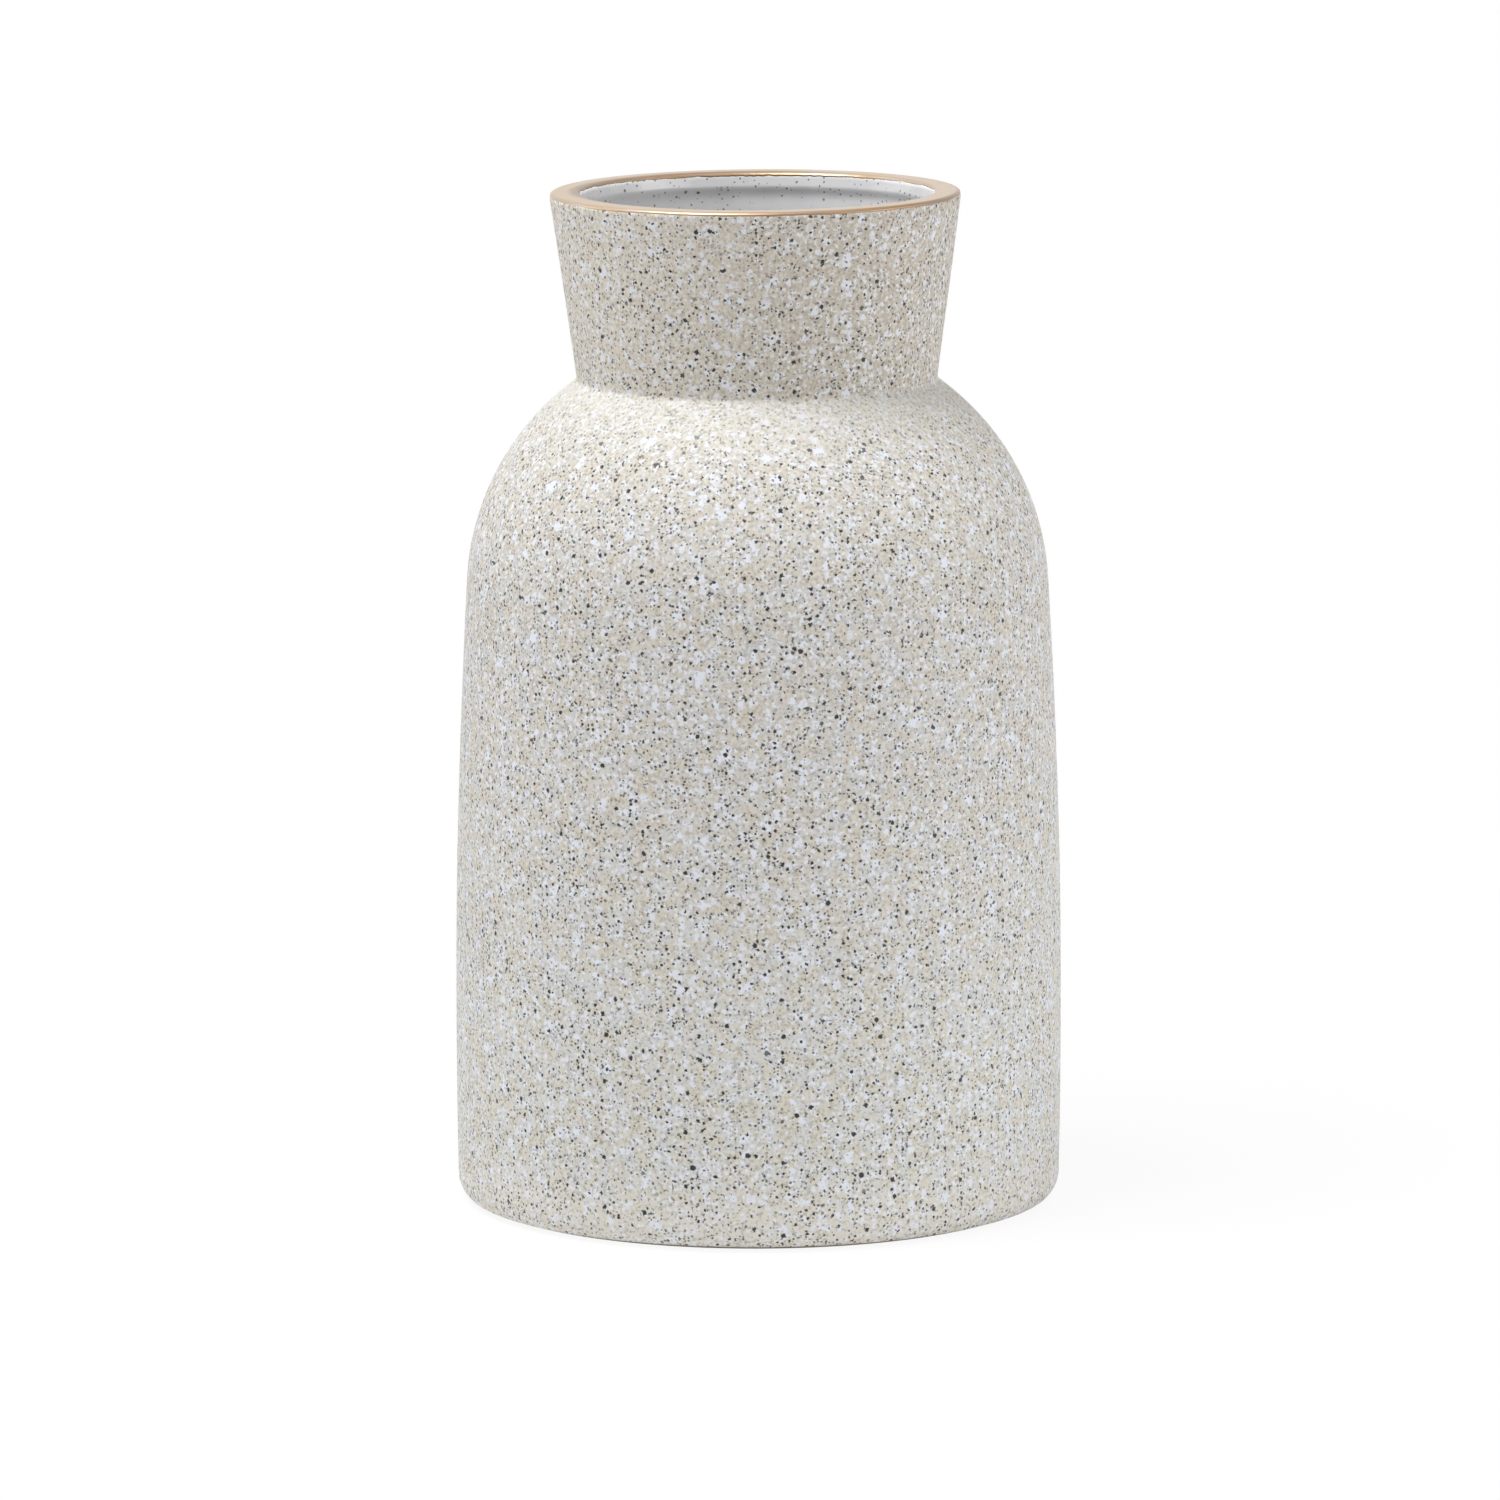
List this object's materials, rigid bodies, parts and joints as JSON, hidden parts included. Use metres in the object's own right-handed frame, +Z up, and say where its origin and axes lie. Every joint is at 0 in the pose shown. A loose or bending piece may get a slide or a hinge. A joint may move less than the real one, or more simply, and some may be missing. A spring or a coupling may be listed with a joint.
{
  "type": "stoneware vase",
  "caption": "Bottle-shaped stoneware vase with rounded shoulders, a flared collar neck, speckled matte glaze, a glossy liner inside and a gold lustre rim.",
  "frame": {"origin": "on the vase's own axis, at the level of the surface that it stands on", "axes": "+Z up along the axis from the foot to the mouth; the vase is turned, so +X and +Y may be any two square directions"},
  "size_m": [0.108, 0.108, 0.18],
  "materials": {
    "bare_clay": "fired, unglazed, matte",
    "joining_slip": "fired slip, matte",
    "speckled_glaze": "matte glaze with white mottle and black iron speckles",
    "liner_glaze": "glossy liner glaze with a few dark specks",
    "gold_lustre": "satin gold lustre, brushed on"
  },
  "bodies": {
    "root": {"base": "bare_clay", "body_wall": "bare_clay", "shoulder": "bare_clay", "neck": "bare_clay", "base_seam": "joining_slip", "shoulder_seam": "joining_slip", "neck_seam": "joining_slip", "outer_glaze": "speckled_glaze", "liner_glaze": "liner_glaze", "rim_lustre": "gold_lustre"}
  },
  "joints": []
}
